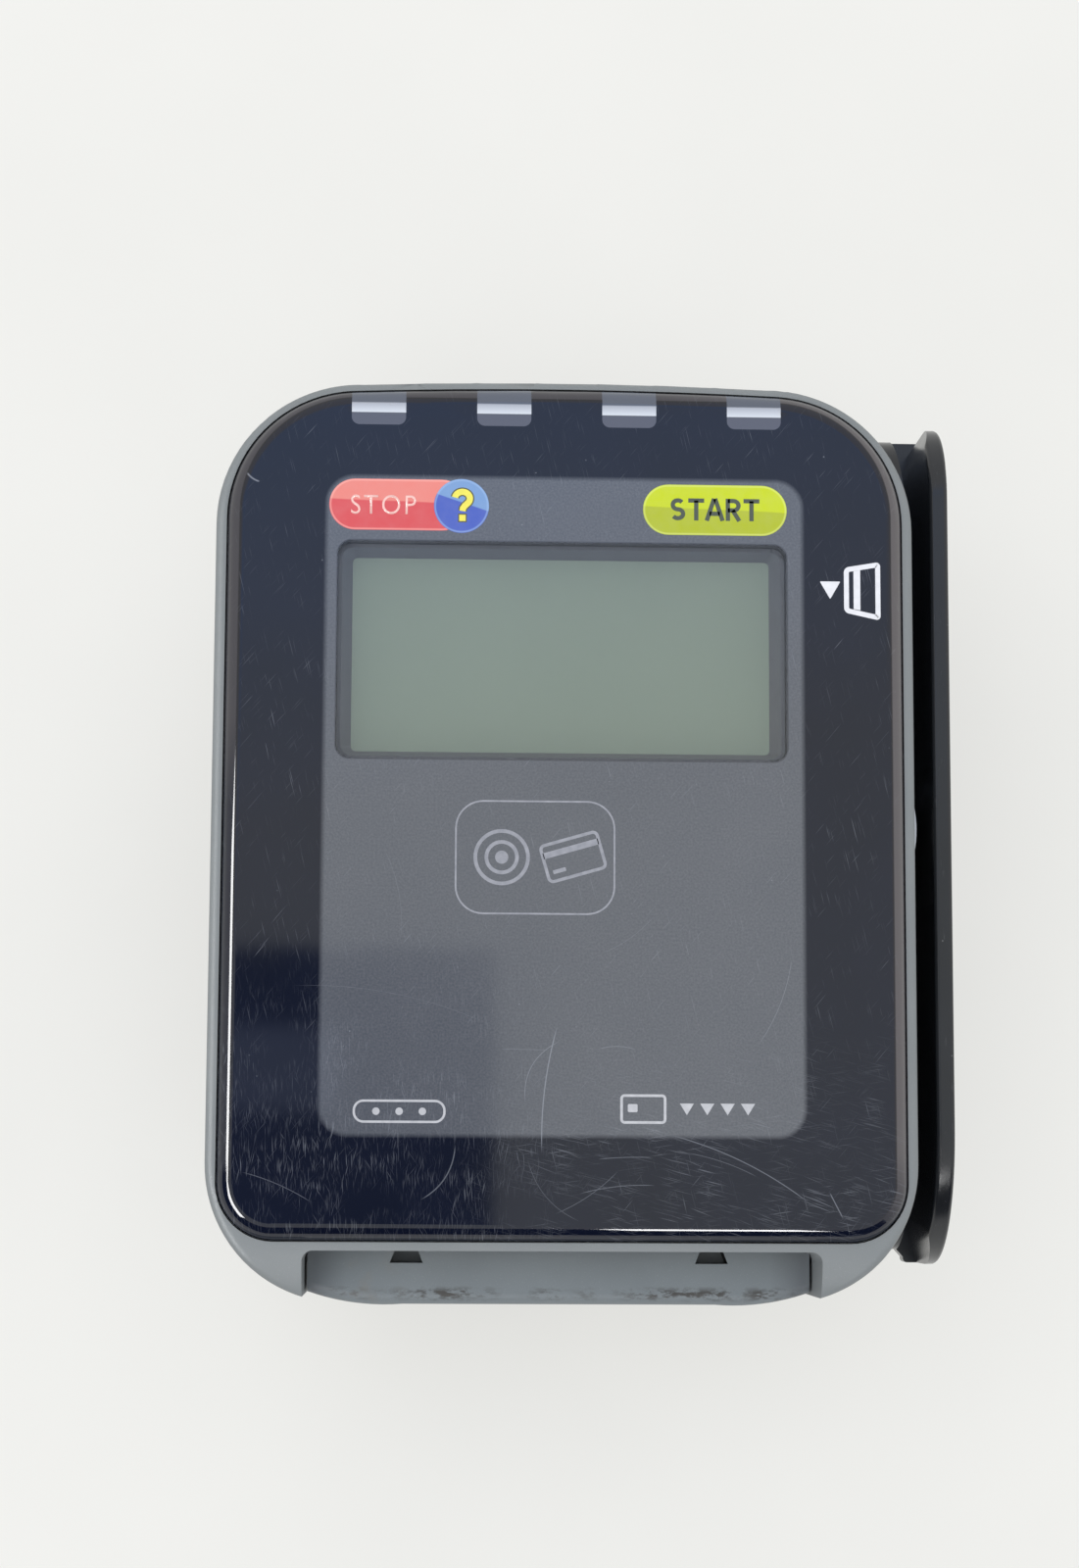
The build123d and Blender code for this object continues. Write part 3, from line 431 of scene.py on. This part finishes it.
lcdFinish = Finish("displayGlass", roughness=0.25, specular=0.3)
lcdX, lcdY = lcdFinish.place()[:2]
lcdTone = lcdFinish.noise(lcdX / 25, lcdY / 25, 2.0)
dots = within(0.42 - abs((lcdX * 2.6).math("FRACT") - 0.5), 0.1).most(
    within(0.42 - abs((lcdY * 2.6).math("FRACT") - 0.5), 0.1))
lcdColour = lcdFinish.blend((0.215, 0.280, 0.222, 1.0), (0.242, 0.308, 0.246, 1.0), lcdTone)
lcdColour = lcdFinish.blend(lcdColour, (0.22, 0.275, 0.24, 1.0), dots * 0.10)
lcdFinish.set(color=lcdColour)
polished("lcd_glass", lcdFinish)

# light windows
lampFinish = Finish("lightWindow", ior=1.5)
lampX, lampY, lampZ = lampFinish.place()
lampNoise = lampFinish.noise(lampX / 2, lampY / 2, lampZ, detail=2.0)
# painted light: the strip from 45.6 to 46.8 mm is painted lighter, lightest at its lower edge, with painted
# shade above and below it
paintedLitStrip = ((46.95 - lampY) / 1.3).held()
lampColour = lampFinish.blend((0.30, 0.32, 0.38, 1.0), (0.58, 0.62, 0.69, 1.0), paintedLitStrip)
lampColour = lampFinish.blend(lampColour, (0.085, 0.098, 0.130, 1.0), within(46.8 - lampY, 0.15))
lampColour = lampFinish.blend(lampColour, (0.085, 0.092, 0.125, 1.0), within(lampY - 45.6, 0.08))
lampSeam = within(abs(lampY - 45.60) - 0.04, 0.08)
lampColour = lampFinish.blend(lampColour, (0.02, 0.022, 0.03, 1.0), lampSeam * 0.8)
lampFinish.set(color=lampColour, roughness=0.08 + lampNoise * 0.08)
polished("light_pipes", lampFinish, sink=glass["sink"])
print("window made")


# printed signs
def flatShape(width, height, corner=0.0, steps=10):
    # a flat rounded rectangle about the origin, in millimetres
    shape = bmesh.new()
    bmesh.ops.create_grid(shape, x_segments=1, y_segments=1, size=0.5)
    bmesh.ops.scale(shape, verts=shape.verts, vec=(width, height, 1.0))
    if corner:
        bmesh.ops.bevel(shape, geom=shape.verts[:], offset=corner, offset_type="OFFSET", affect="VERTICES",
                        segments=steps, profile=0.5, material=-1)
    return shape


def hollow(shape, line):
    # only a band along the edge is left
    ring = bmesh.ops.inset_region(shape, faces=shape.faces[:], thickness=line,
                                  use_even_offset=True, use_boundary=True)
    bmesh.ops.delete(shape, geom=[f for f in shape.faces if f not in ring["faces"]], context="FACES")
    return shape


def strokeShape(points, width):
    # a band of even width along a path
    shape = bmesh.new()
    pairs = []
    for i, point in enumerate(points):
        before, after = Vector(points[max(i - 1, 0)]), Vector(points[min(i + 1, len(points) - 1)])
        side = (after - before).normalized()
        side = Vector((-side.y, side.x)) * width / 2
        pairs.append([shape.verts.new((*(Vector(point) + side * way), 0.0)) for way in (1, -1)])
    for first, second in zip(pairs, pairs[1:]):
        shape.faces.new((first[0], first[1], second[1], second[0]))
    return shape


def outlineShape(width, height, corner, line):
    # a rounded rectangular ring
    shape = flatShape(width, height, corner)
    return hollow(shape, line)


def ringShape(radius, line, steps=48):
    shape = bmesh.new()
    bmesh.ops.create_circle(shape, cap_ends=True, segments=steps, radius=radius)
    return hollow(shape, line) if line < radius else shape


def wedgeShape(points):
    shape = bmesh.new()
    shape.faces.new([shape.verts.new((x, y, 0.0)) for x, y in points])
    return shape


def wordShape(word, height, bold=0.0, gap=1.0):
    # letters of that capital height, about the origin
    curve = bpy.data.curves.new(word, "FONT")
    curve.body = word
    curve.size = 1.0
    curve.space_character = gap
    curve.offset = bold
    curve.resolution_u = 6
    carrier = bpy.data.objects.new(word, curve)
    scene.collection.objects.link(carrier)
    bpy.context.view_layer.update()
    mesh = bpy.data.meshes.new_from_object(carrier)
    shape = bmesh.new()
    shape.from_mesh(mesh)
    bpy.data.objects.remove(carrier)
    bmesh.ops.remove_doubles(shape, verts=shape.verts, dist=1e-5)
    low = Vector((min(v.co.x for v in shape.verts), min(v.co.y for v in shape.verts), 0.0))
    high = Vector((max(v.co.x for v in shape.verts), max(v.co.y for v in shape.verts), 0.0))
    bmesh.ops.translate(shape, verts=shape.verts, vec=-(low + high) / 2)
    grow = height / (high.y - low.y)
    bmesh.ops.scale(shape, verts=shape.verts, vec=(grow, grow, 1.0))
    return shape


def strokeWord(word, line, advance):
    # bold letters drawn with strokes of one width, 2.6 high, about the origin
    def bend(cx, cy, rx, ry, first, last):
        steps = 14
        turns = [math.radians(first + (last - first) * i / steps) for i in range(steps + 1)]
        return [(cx + rx * math.cos(t), cy + ry * math.sin(t)) for t in turns]

    strokes = {
        "S": [bend(0, 0.525, 0.58, 0.525, 35, 270) + bend(0, -0.525, 0.62, 0.525, 90, -145)[1:]],
        "T": [[(-0.92, 1.05), (0.92, 1.05)], [(0.0, 1.05), (0.0, -1.3)]],
        "A": [[(-0.92, -1.3), (-0.06, 1.3)], [(0.92, -1.3), (0.06, 1.3)], [(-0.6, -0.48), (0.6, -0.48)]],
        "R": [[(-0.6, 1.3), (-0.6, -1.3)],
              [(-0.6, 1.05), (0.02, 1.05)] + bend(0.05, 0.5, 0.58, 0.55, 85, -85) + [(-0.6, -0.05)],
              [(-0.05, -0.05), (0.72, -1.3)]],
    }
    shapes = []
    for i, letter in enumerate(word):
        place = (i - (len(word) - 1) / 2) * advance
        shapes += [moved(strokeShape(path, line), place, 0.0) for path in strokes[letter]]
    return together(shapes)


def together(shapes):
    # several shapes in one bmesh
    whole = bmesh.new()
    for shape in shapes:
        mesh = bpy.data.meshes.new("part")
        shape.to_mesh(mesh)
        shape.free()
        whole.from_mesh(mesh)
        bpy.data.meshes.remove(mesh)
    return whole


def moved(shape, x, y, turn=0.0):
    bmesh.ops.rotate(shape, verts=shape.verts, cent=(0, 0, 0),
                     matrix=Matrix.Rotation(math.radians(turn), 3, "Z"))
    bmesh.ops.translate(shape, verts=shape.verts, vec=(x, y, 0.0))
    return shape


def printOn(name, shape, finish, level, x=0.0, y=0.0, wide=1.0):
    # a thin raised print. Level 0 is the lowest layer of ink.
    top, thickness = -0.022 + 0.005 * level, 0.02
    bmesh.ops.scale(shape, verts=shape.verts, vec=(wide, 1.0, 1.0))
    for face in shape.faces:
        if face.normal.z < 0:
            face.normal_flip()
    grown = bmesh.ops.extrude_face_region(shape, geom=shape.faces[:])
    lifted = [g for g in grown["geom"] if isinstance(g, bmesh.types.BMVert)]
    bmesh.ops.translate(shape, verts=lifted, vec=(0, 0, thickness))
    bmesh.ops.recalc_face_normals(shape, faces=shape.faces)
    bmesh.ops.scale(shape, verts=shape.verts, vec=(mm, mm, mm))
    bmesh.ops.translate(shape, verts=shape.verts, vec=at(x, y, top - thickness))
    return settle(name, shape, finish)


def inkFinish(name, upper, lower, split, edge=None, edgeShape=None):
    # glossy ink, lighter above a slanting line. split is (x, y, slope, waviness)
    finish = Finish(name, ior=1.5)
    inkX, inkY = finish.place()[:2]
    sx, sy, slope, wave = split
    bend = ((inkX - sx) * 0.35).math("SINE") * wave
    colour = finish.blend(lower, upper, within(sy - inkY + (inkX - sx) * slope + bend, 0.12))
    shade = finish.noise(inkX / 1.6, inkY / 1.6, 1.0, detail=3.0)
    if edge:
        cx, cy, w, h, r = edgeShape
        edgeGap = outside(inkX - cx, inkY - cy, w, h, r)
        colour = finish.blend(colour, edge, within(abs(edgeGap + 0.14) - 0.08, 0.16) * 0.55)
    colour = finish.blend(colour, (0.55, 0.55, 0.55, 1.0), (shade - 0.5) * 0.12 + 0.02)
    finish.set(color=colour, roughness=0.05 + shade * 0.05)
    return finish


def plainInk(name, colour, fade=0.0):
    finish = Finish(name, ior=1.5, roughness=0.08)
    inkX, inkY = finish.place()[:2]
    thin = finish.noise(inkX / 0.8, inkY / 0.8, 3.0, detail=3.0)
    finish.set(color=finish.blend(colour, (0.11, 0.12, 0.15, 1.0), (thin * (0.25 + fade)).held()))
    return finish


stopKey = {"middle": (-19.3, 34.80), "size": (15.9, 5.97), "disc": (-12.08, 34.73), "discRadius": 3.16,
           "letters": 2.25, "lettersMiddle": (-21.03, 34.78)}
stopInk = inkFinish("stopInk", (0.72, 0.215, 0.180, 1.0), (0.60, 0.075, 0.080, 1.0),
                    (-21.0, 35.25, -0.038, 0.05),
                    (0.93, 0.42, 0.38, 1.0), (*stopKey["middle"], *stopKey["size"], 2.98))
printOn("stopPill", flatShape(*stopKey["size"], 2.98), stopInk, 0, *stopKey["middle"])
discInk = inkFinish("helpInk", (0.17, 0.30, 0.56, 1.0), (0.062, 0.105, 0.45, 1.0),
                    (-12.0, 35.15, -0.357, 0.08),
                    (0.30, 0.45, 0.72, 1.0), (*stopKey["disc"], 6.32, 6.32, 3.16))
printOn("helpDisc", ringShape(stopKey["discRadius"], 9.0, 64), discInk, 1, *stopKey["disc"])
printOn("stopLetters", wordShape("STOP", stopKey["letters"], -0.004, 1.18),
        plainInk("stopLetterInk", (0.95, 0.58, 0.54, 1.0)), 2, *stopKey["lettersMiddle"], wide=0.88)

# question mark: a hook, a stem and a dot
hook = [(0.86 * math.cos(math.radians(t)), 0.78 * math.sin(math.radians(t)) + 0.86)
        for t in range(172, -46, -12)]
hook += [(0.30, 0.02), (0.08, -0.28), (0.02, -0.62)]
markInks = (("helpMarkEdge", 1.02, 1.02, (0.085, 0.085, 0.03, 1.0), 2),
            ("helpMark", 0.72, 0.74, (0.86, 0.78, 0.085, 1.0), 3))
for name, width, dot, colour, level in markInks:
    questionMark = together([strokeShape(hook, width), moved(flatShape(dot, dot), 0.02, -1.42)])
    printOn(name, questionMark, plainInk(name + "Ink", colour), level, -11.98, 34.75)

startKey = {"middle": (17.13, 34.61), "size": (16.6, 5.9), "line": 0.5, "advance": 2.13,
            "lettersMiddle": (17.1, 34.67)}
startInk = inkFinish("startInk", (0.50, 0.59, 0.0, 1.0), (0.38, 0.44, 0.010, 1.0),
                     (17.0, 34.70, -0.040, 0.04),
                     (0.68, 0.76, 0.20, 1.0), (*startKey["middle"], *startKey["size"], 2.94))
printOn("startPill", flatShape(*startKey["size"], 2.94), startInk, 0, *startKey["middle"])
printOn("startLetters", strokeWord("START", startKey["line"], startKey["advance"]),
        plainInk("startLetterInk", (0.060, 0.075, 0.045, 1.0)), 2, *startKey["lettersMiddle"])

# swipe sign: a triangle and a card seen in perspective
whiteInk = plainInk("whiteInk", (0.78, 0.79, 0.84, 1.0))
swipeArrow = wedgeShape([(-1.19, 1.0), (0.0, -1.06), (1.19, 1.0)])
bmesh.ops.bevel(swipeArrow, geom=swipeArrow.verts[:], offset=0.12, offset_type="OFFSET", affect="VERTICES",
                segments=3, profile=0.5, material=-1)
printOn("swipeArrow", swipeArrow, whiteInk, 0, 30.40, 25.42)
swipeCard = wedgeShape([(-2.13, 2.72), (-2.13, -2.52), (2.08, -3.44), (2.08, 3.44)])
bmesh.ops.bevel(swipeCard, geom=swipeCard.verts[:], offset=0.55, offset_type="OFFSET", affect="VERTICES",
                segments=6, profile=0.5, material=-1)
swipeStripe = wedgeShape([(-1.02, 2.31), (-1.02, -2.12), (-0.24, -2.24), (-0.24, 2.44)])
swipeCard = together([hollow(swipeCard, 0.58), swipeStripe])
printOn("swipeCard", swipeCard, whiteInk, 0, 34.13, 25.34)

# tap sign: rings that stand for the reader, and a card beside them in a frame
tapSign = {"middle": (-3.4, -5.8), "frame": (18.2, 13.0), "line": 0.2}
greyInk = plainInk("greyInk", (0.36, 0.37, 0.42, 1.0), 0.5)
printOn("tapFrame", outlineShape(*tapSign["frame"], 3.2, tapSign["line"]), greyInk, 0, *tapSign["middle"])
rings = together([ringShape(0.75, 9.0), ringShape(1.95, 0.42), ringShape(3.2, 0.42)])
printOn("tapRings", rings, greyInk, 0, -7.2, -5.8)
tapCard = together([outlineShape(7.0, 4.6, 0.7, 0.36), moved(flatShape(6.5, 0.7), 0.0, 0.95),
                    moved(flatShape(1.5, 0.45, 0.1), -1.9, -1.1)])
printOn("tapCard", moved(tapCard, 0.0, 0.0, 16.0), greyInk, 0, 0.9, -5.7)

# small marks: three dots in a bar, and a card with arrows that point to the slot
paleInk = plainInk("paleInk", (0.55, 0.56, 0.60, 1.0), 0.2)
dotBar = [outlineShape(10.4, 2.6, 1.2, 0.26)]
dotBar += [moved(ringShape(0.42, 9.0), 2.6 * i, 0.0) for i in (-1, 0, 1)]
printOn("dotBar", together(dotBar), paleInk, 0, -18.5, -34.5)
slotSign = [outlineShape(5.2, 3.3, 0.5, 0.3), moved(flatShape(1.1, 0.9, 0.15), -1.2, 0.1)]
slotArrow = [(-0.8, 0.65), (0.8, 0.65), (0.0, -0.65)]
slotSign += [moved(wedgeShape(slotArrow), 4.9 + 2.3 * i, 0.0) for i in range(4)]
printOn("slotSign", together(slotSign), paleInk, 0, 8.9, -34.1)
print("signs printed")


# grey housing and card guide
def mouldedFinish(name, light, dark, roughness=0.52, grain=7.0, depth=0.000006):
    # grained plastic with faint handling marks
    finish = Finish(name, ior=1.46)
    px, py, pz = finish.place()
    tone = finish.noise(px / 12, py / 12, pz / 12, detail=4.0)
    colour = finish.blend(dark, light, ((tone - 0.3) * 2.2).held())
    fine = finish.noise(px * grain, py * grain, pz * grain, detail=1.0)
    colour = finish.blend(colour, (0.9, 0.9, 0.9, 1.0), ((fine - 0.62) * 0.3).held())
    finish.set(color=colour, roughness=roughness + (tone - 0.5) * 0.16, normal=finish.bump(fine, depth))
    return finish, px, py, pz, colour


housingFinish = mouldedFinish("housingGrey", (0.205, 0.222, 0.232, 1.0), (0.178, 0.196, 0.206, 1.0))[0]
polished("front_housing", housingFinish, angle=40)

guideFinish, gx, gy, gz, guideColour = mouldedFinish(
    "guideGrey", (0.178, 0.205, 0.222, 1.0), (0.152, 0.176, 0.192, 1.0))
edgeDirt = guideFinish.noise(gx / 1.7, gy / 0.7, gz, detail=5.0, rough=0.7)
spread = guideFinish.noise(gx / 9, 0.0, 4.0, detail=2.0)
dirtPlaces = ((spread - 0.42) * 6.0).held().most(within(abs(gx - 14.5) - 6.5, 5.0))
edgeDirt = ((edgeDirt - 0.47) * 9.0).held() * within(abs(gy + 55.1) - 0.6, 0.7) * dirtPlaces
stain = ((guideFinish.noise(gx / 3.4, gy / 3.0, 7.0, detail=3.0) - 0.52) * 3.0).held()
stain = stain * within(abs(gx + 21.5) - 3.5, 5.0)
shadow = within(abs(gx) * -1.0 + 26.2, 3.5)
guideColour = guideFinish.blend(guideColour, (0.030, 0.026, 0.022, 1.0), edgeDirt * 0.9)
guideColour = guideFinish.blend(guideColour, (0.20, 0.175, 0.145, 1.0), stain * 0.5)
guideColour = guideFinish.blend(guideColour, (0.06, 0.065, 0.08, 1.0), shadow * 0.45)
# painted shade: the walls of the notches below the card floor are painted near black
notchShade = within(abs(abs(gx) - 17.6) - 2.0, 0.3) * within(gz + 11.55, 0.1)
notchShade = notchShade * within(abs(gy + 51.6) - 2.1, 0.3)
guideColour = guideFinish.blend(guideColour, (0.004, 0.004, 0.004, 1.0), notchShade)
guideFinish.set(color=guideColour)
polished("card_guide", guideFinish, angle=40)
print("housing made")


# swipe rail
railFinish = Finish("railBlack", ior=1.5)
rx, ry, rz = railFinish.place()
railTone = railFinish.noise(rx / 6, ry / 10, rz / 6, detail=4.0)
railRub = railFinish.noise(rx * 3.0, ry * 0.4, rz * 3.0, detail=3.0)
railDust = railFinish.specks(rx / 2.2, ry / 2.2, rz / 2.2, 0.06)
railColour = railFinish.blend((0.006, 0.007, 0.009, 1.0), (0.014, 0.016, 0.020, 1.0), railTone)
railWear = (((railRub - 0.66) * 4.0).held() * 0.12).most(railDust * 0.35)
railColour = railFinish.blend(railColour, (0.35, 0.36, 0.38, 1.0), railWear)
railFinish.set(color=railColour, roughness=0.14 + railTone * 0.16)
polished("swipe_rail", railFinish, angle=40)
print("rail made")


# everything behind
def simpleFinish(name, colour, second, roughness, metallic=0.0, scale=4.0, stretch=(1, 1, 1), depth=0.0):
    finish = Finish(name, metallic=metallic)
    px, py, pz = finish.place()
    tone = finish.noise(px / scale * stretch[0], py / scale * stretch[1], pz / scale * stretch[2],
                        detail=3.0)
    finish.set(color=finish.blend((*colour, 1.0), (*second, 1.0), tone),
               roughness=roughness + (tone - 0.5) * 0.15)
    if depth:
        fine = finish.noise(px * 6, py * 6, pz * 6, detail=1.0)
        finish.set(normal=finish.bump(fine, depth))
    return finish


blackPlastic = mouldedFinish("caseBlack", (0.030, 0.031, 0.034, 1.0), (0.020, 0.021, 0.023, 1.0), 0.5)[0]
foamFinish = simpleFinish("sealFoam", (0.018, 0.018, 0.019), (0.035, 0.035, 0.036), 0.9,
                          scale=0.6, depth=0.00005)
steelFinish = simpleFinish("zincSteel", (0.60, 0.61, 0.62), (0.72, 0.72, 0.72), 0.32, 1.0, scale=2.0)
shieldFinish = simpleFinish("springSteel", (0.55, 0.56, 0.57), (0.66, 0.66, 0.66), 0.35, 1.0,
                            scale=6.0, stretch=(1, 6, 1))
goldFinish = simpleFinish("goldContact", (0.80, 0.58, 0.22), (0.90, 0.68, 0.30), 0.22, 1.0)
copperFinish = simpleFinish("copperTrack", (0.62, 0.30, 0.16), (0.72, 0.38, 0.22), 0.35, 1.0)
boardFinish = simpleFinish("boardGreen", (0.012, 0.10, 0.04), (0.02, 0.14, 0.06), 0.35, scale=3.0)
flexFinish = simpleFinish("flexAmber", (0.42, 0.18, 0.04), (0.52, 0.24, 0.06), 0.35)
whitePlastic = simpleFinish("whitePlastic", (0.72, 0.72, 0.69), (0.80, 0.80, 0.77), 0.4)
socketFinish = simpleFinish("socketBlack", (0.016, 0.016, 0.018), (0.030, 0.030, 0.032), 0.38)
buttonFinish = simpleFinish("buttonGrey", (0.12, 0.12, 0.13), (0.16, 0.16, 0.17), 0.5)
labelFinish = simpleFinish("plateWhite", (0.62, 0.62, 0.61), (0.70, 0.70, 0.69), 0.45, scale=9.0)
readerFinish = simpleFinish("readerBlack", (0.006, 0.006, 0.007), (0.012, 0.012, 0.013), 0.6)

dressed = {
    "caseBlack": (blackPlastic, ["chassis", "rear_case", "sam_door"]),
    "foam": (foamFinish, ["panel_gasket", "window_gasket"]),
    "steel": (steelFinish, ["panel_studs", "rear_screws", "housing_screws", "rail_screws", "board_screws",
                            "io_screws", "head_spring", "backup_cell"]),
    "shield": (shieldFinish, ["lcd_frame", "security_shield", "usb_port", "mag_head"]),
    "gold": (goldFinish, ["contact_springs", "ethernet_pins", "power_pins"]),
    "copper": (copperFinish, ["antenna_coil"]),
    "board": (boardFinish, ["main_board", "antenna_board", "io_board"]),
    "flex": (flexFinish, ["lcd_flex", "head_flex", "board_ribbon"]),
    "white": (whitePlastic, ["lcd_backlight", "card_switch_lever", "tamper_plunger_lower",
                             "tamper_plunger_upper", "power_header", "status_leds"]),
    "socket": (socketFinish, ["ethernet_jack", "cell_holder", "buzzer", "tamper_switches", "button_switch",
                              "sam_sockets"]),
    "button": (buttonFinish, ["service_button"]),
    "label": (labelFinish, ["rating_plate"]),
    "reader": (readerFinish, ["reader_base", "reader_cover", "contact_carrier", "display_carrier"]),
}
for finish, names in dressed.values():
    for name in names:
        nodes[name].data.materials.clear()
        nodes[name].data.materials.append(finish.material)
print("inner pieces dressed")
